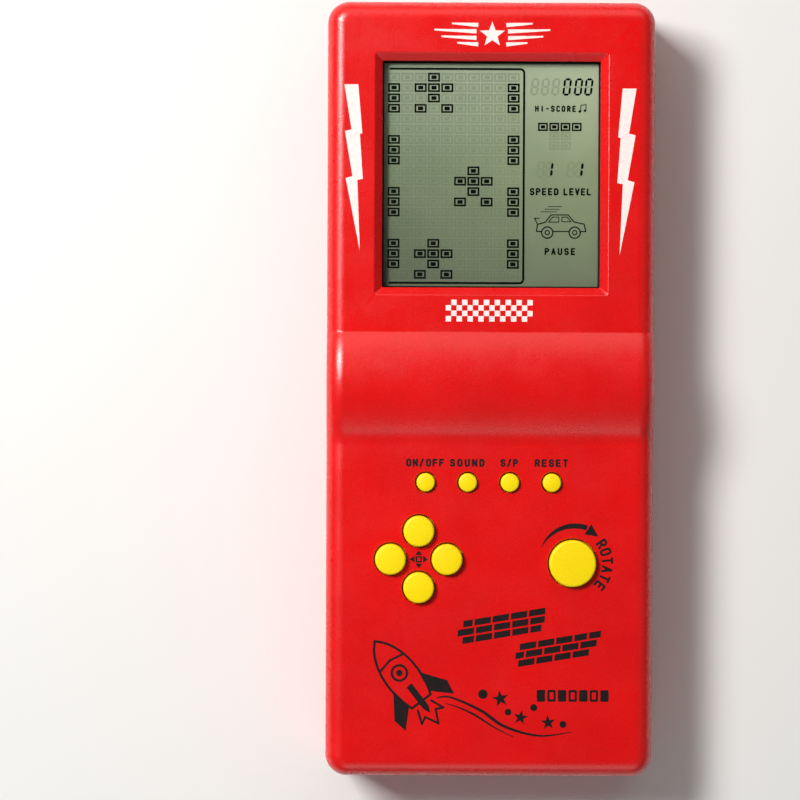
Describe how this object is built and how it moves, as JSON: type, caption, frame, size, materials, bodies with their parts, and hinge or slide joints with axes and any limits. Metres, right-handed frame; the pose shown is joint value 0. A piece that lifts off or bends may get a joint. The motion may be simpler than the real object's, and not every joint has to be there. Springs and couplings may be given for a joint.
{
  "type": "handheld lcd game",
  "caption": "Slim handheld LCD block game with a screen, direction and function buttons, and a battery door in its back.",
  "frame": {"origin": "centre of the flat back, in the plane it lies on", "axes": "+X right, +Y towards the screen end, +Z out of the front face"},
  "size_m": [0.075, 0.1774, 0.026],
  "materials": {
    "shell_red": "satin, fine grain",
    "button_yellow": "semi-gloss",
    "window_clear": "clear",
    "foam_black": "matt foam",
    "polarizer_film": "satin film",
    "lcd_glass": "clear",
    "lcd_reflector": "fine metallic grain",
    "frame_white": "satin",
    "flex_film": "satin film with printed tracks",
    "board_green": "solder mask",
    "epoxy_black": "semi-matt epoxy",
    "resistor_tan": "lacquered",
    "capacitor_orange": "dipped",
    "capacitor_blue": "shrink sleeve",
    "silicone": "satin silicone",
    "carbon_pill": "matt carbon",
    "brass_disc": "satin",
    "piezo_ceramic": "silvered",
    "wire_red": "smooth insulation",
    "wire_black": "smooth insulation",
    "cell_jacket": "gloss jacket",
    "contact_steel": "nickel plated",
    "screw_zinc": "zinc plated",
    "print_black": "pad-printed ink",
    "print_white": "pad-printed ink",
    "lcd_segment": "liquid crystal"
  },
  "bodies": {
    "housing": {"front_shell": "shell_red", "back_shell": "shell_red", "display_window": "window_clear", "window_gasket": "foam_black", "front_polarizer": "polarizer_film", "front_glass": "lcd_glass", "rear_glass": "lcd_glass", "reflector": "lcd_reflector", "display_frame": "frame_white", "display_ribbon": "flex_film", "circuit_board": "board_green", "chip_blob": "epoxy_black", "resistors": "resistor_tan", "ceramic_capacitors": "capacitor_orange", "filter_capacitor": "capacitor_blue", "buzzer_transistor": "epoxy_black", "function_key_mat": "silicone", "direction_key_mat": "silicone", "rotate_key_mat": "silicone", "piezo_disc": "brass_disc", "piezo_ceramic": "piezo_ceramic", "buzzer_wires": "wire_red", "battery_cell_a": "cell_jacket", "battery_cell_b": "cell_jacket", "positive_contact": "contact_steel", "negative_contact": "contact_steel", "bridge_contact": "contact_steel", "battery_wire_positive": "wire_red", "battery_wire_negative": "wire_black", "case_screws": "screw_zinc", "board_screws": "screw_zinc", "display_screws": "screw_zinc"},
    "up_button": {"up_button": "button_yellow", "up_contact_pill": "carbon_pill"},
    "down_button": {"down_button": "button_yellow", "down_contact_pill": "carbon_pill"},
    "left_button": {"left_button": "button_yellow", "left_contact_pill": "carbon_pill"},
    "right_button": {"right_button": "button_yellow", "right_contact_pill": "carbon_pill"},
    "rotate_button": {"rotate_button": "button_yellow", "rotate_contact_pill": "carbon_pill"},
    "power_button": {"power_button": "button_yellow", "power_contact_pill": "carbon_pill"},
    "sound_button": {"sound_button": "button_yellow", "sound_contact_pill": "carbon_pill"},
    "start_button": {"start_button": "button_yellow", "start_contact_pill": "carbon_pill"},
    "reset_button": {"reset_button": "button_yellow", "reset_contact_pill": "carbon_pill"},
    "battery_door": {"battery_door": "shell_red", "door_latch": "shell_red"}
  },
  "joints": [
    {"name": "up_press", "type": "slide", "parent": "housing", "child": "up_button", "axis": [0, 0, -1], "range_m": [0, 0.0012], "stiffness_N_per_m": 500, "deforming": ["direction_key_mat"]},
    {"name": "down_press", "type": "slide", "parent": "housing", "child": "down_button", "axis": [0, 0, -1], "range_m": [0, 0.0012], "stiffness_N_per_m": 500, "deforming": ["direction_key_mat"]},
    {"name": "left_press", "type": "slide", "parent": "housing", "child": "left_button", "axis": [0, 0, -1], "range_m": [0, 0.0012], "stiffness_N_per_m": 500, "deforming": ["direction_key_mat"]},
    {"name": "right_press", "type": "slide", "parent": "housing", "child": "right_button", "axis": [0, 0, -1], "range_m": [0, 0.0012], "stiffness_N_per_m": 500, "deforming": ["direction_key_mat"]},
    {"name": "rotate_press", "type": "slide", "parent": "housing", "child": "rotate_button", "axis": [0, 0, -1], "range_m": [0, 0.0012], "stiffness_N_per_m": 500, "deforming": ["rotate_key_mat"]},
    {"name": "power_press", "type": "slide", "parent": "housing", "child": "power_button", "axis": [0, 0, -1], "range_m": [0, 0.0008], "stiffness_N_per_m": 500, "deforming": ["function_key_mat"]},
    {"name": "sound_press", "type": "slide", "parent": "housing", "child": "sound_button", "axis": [0, 0, -1], "range_m": [0, 0.0008], "stiffness_N_per_m": 500, "deforming": ["function_key_mat"]},
    {"name": "start_press", "type": "slide", "parent": "housing", "child": "start_button", "axis": [0, 0, -1], "range_m": [0, 0.0008], "stiffness_N_per_m": 500, "deforming": ["function_key_mat"]},
    {"name": "reset_press", "type": "slide", "parent": "housing", "child": "reset_button", "axis": [0, 0, -1], "range_m": [0, 0.0008], "stiffness_N_per_m": 500, "deforming": ["function_key_mat"]},
    {"name": "battery_door_hinge", "type": "hinge", "parent": "housing", "child": "battery_door", "pos_m": [0, -0.0101, 0.0011], "axis": [-1, 0, 0], "range_deg": [0, 45], "deforming": ["door_latch"]}
  ]
}
